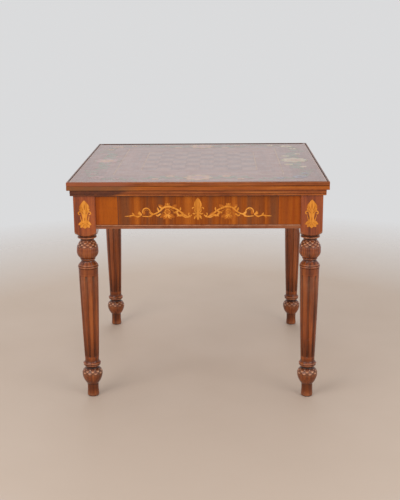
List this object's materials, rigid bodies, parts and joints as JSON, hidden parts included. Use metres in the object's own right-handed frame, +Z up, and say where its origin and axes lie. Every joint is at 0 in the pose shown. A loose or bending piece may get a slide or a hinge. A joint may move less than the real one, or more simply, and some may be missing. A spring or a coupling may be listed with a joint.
{
  "type": "games table",
  "caption": "Square games table on turned and fluted legs; its folded two-leaf top swivels a quarter turn over a storage well and opens into a baize playing surface.",
  "frame": {"origin": "on the floor, under the middle of the case", "axes": "+Z up; +X to the right as seen from the front; +Y towards the back, where the leaf hinges are at rest"},
  "size_m": [0.86, 0.8632, 0.77],
  "materials": {
    "leg_wood": "French-polished walnut, red-brown",
    "case_wood": "polished walnut",
    "moulding_wood": "polished walnut moulding",
    "panel_veneer": "figured veneer with scroll marquetry, polished",
    "strip_veneer": "bright cross-grained veneer, polished",
    "floor_wood": "unpolished softwood board",
    "leaf_wood": "walnut board",
    "lipping_wood": "polished walnut edge",
    "border_veneer": "figured border veneer with floral marquetry, high gloss",
    "banding_inlay": "light inlaid banding",
    "dark_square_veneer": "dark chess square veneer",
    "light_square_veneer": "light chess square veneer",
    "baize": "green wool baize",
    "hinge_brass": "satin brass",
    "pivot_iron": "dark iron, oiled"
  },
  "bodies": {
    "base": {"leg_front_left": "leg_wood", "leg_front_right": "leg_wood", "leg_back_right": "leg_wood", "leg_back_left": "leg_wood", "apron_front": "case_wood", "apron_right": "case_wood", "apron_back": "case_wood", "apron_left": "case_wood", "bead_front": "moulding_wood", "bead_right": "moulding_wood", "bead_back": "moulding_wood", "bead_left": "moulding_wood", "cornice_front": "moulding_wood", "cornice_right": "moulding_wood", "cornice_back": "moulding_wood", "cornice_left": "moulding_wood", "veneer_front": "panel_veneer", "veneer_right": "panel_veneer", "veneer_back": "panel_veneer", "veneer_left": "panel_veneer", "end_strips": "strip_veneer", "well_floor": "floor_wood", "well_lining": "baize", "floor_cleats": "case_wood", "pivot_rail": "case_wood", "well_partition": "case_wood", "pivot_washer": "pivot_iron", "pivot_nut": "pivot_iron"},
    "lower_leaf": {"lower_board": "leaf_wood", "lower_baize": "baize", "lower_lipping_front": "lipping_wood", "lower_lipping_right": "lipping_wood", "lower_lipping_back": "lipping_wood", "lower_lipping_left": "lipping_wood", "pivot_plate": "pivot_iron", "pivot_stud": "pivot_iron", "stop_pin": "pivot_iron", "left_hinge_lower": "hinge_brass", "right_hinge_lower": "hinge_brass"},
    "upper_leaf": {"upper_board": "leaf_wood", "upper_baize": "baize", "upper_lipping_front": "lipping_wood", "upper_lipping_right": "lipping_wood", "upper_lipping_back": "lipping_wood", "upper_lipping_left": "lipping_wood", "outer_border": "border_veneer", "banding": "banding_inlay", "inner_border": "border_veneer", "board_stringing": "banding_inlay", "dark_squares": "dark_square_veneer", "light_squares": "light_square_veneer", "left_hinge_upper": "hinge_brass", "right_hinge_upper": "hinge_brass"}
  },
  "joints": [
    {"name": "top_swivel", "type": "hinge", "parent": "base", "child": "lower_leaf", "pos_m": [0.2151, 0.2151, 0.742], "axis": [0, 0, 1], "range_deg": [0, 90]},
    {"name": "leaf_fold", "type": "hinge", "parent": "lower_leaf", "child": "upper_leaf", "pos_m": [0, 0.4302, 0.7561], "axis": [-1, 0, 0], "range_deg": [0, 180]}
  ]
}
